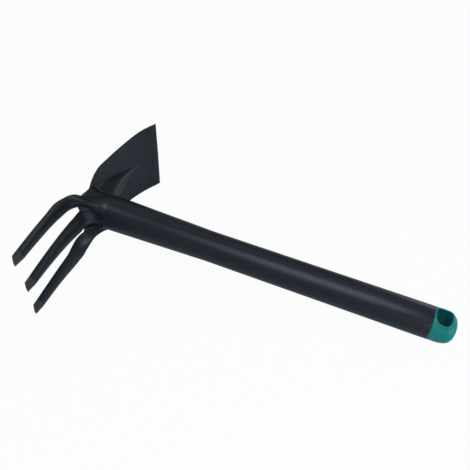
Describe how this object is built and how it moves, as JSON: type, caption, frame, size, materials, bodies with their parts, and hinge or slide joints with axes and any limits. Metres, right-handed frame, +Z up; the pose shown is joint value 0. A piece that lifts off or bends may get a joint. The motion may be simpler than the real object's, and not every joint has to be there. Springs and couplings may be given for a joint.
{
  "type": "double hoe",
  "caption": "One-hand double hoe: flat hoe blade and arched fork tines on a round steel handle with a plastic hanging cap.",
  "frame": {"origin": "centre of the bounding box at floor level, the tool lying on its side on a blade corner, an outer tine and the cap", "axes": "+X along the handle towards the cap, +Y from the tines to the blade, +Z up off the floor"},
  "size_m": [0.343, 0.2108, 0.0821],
  "materials": {
    "coated_steel": "satin powder coat",
    "cap_plastic": "satin moulded plastic"
  },
  "bodies": {
    "root": {"handle_and_fork": "coated_steel", "hoe_blade": "coated_steel", "head_weld": "coated_steel", "end_cap": "cap_plastic"}
  },
  "joints": []
}
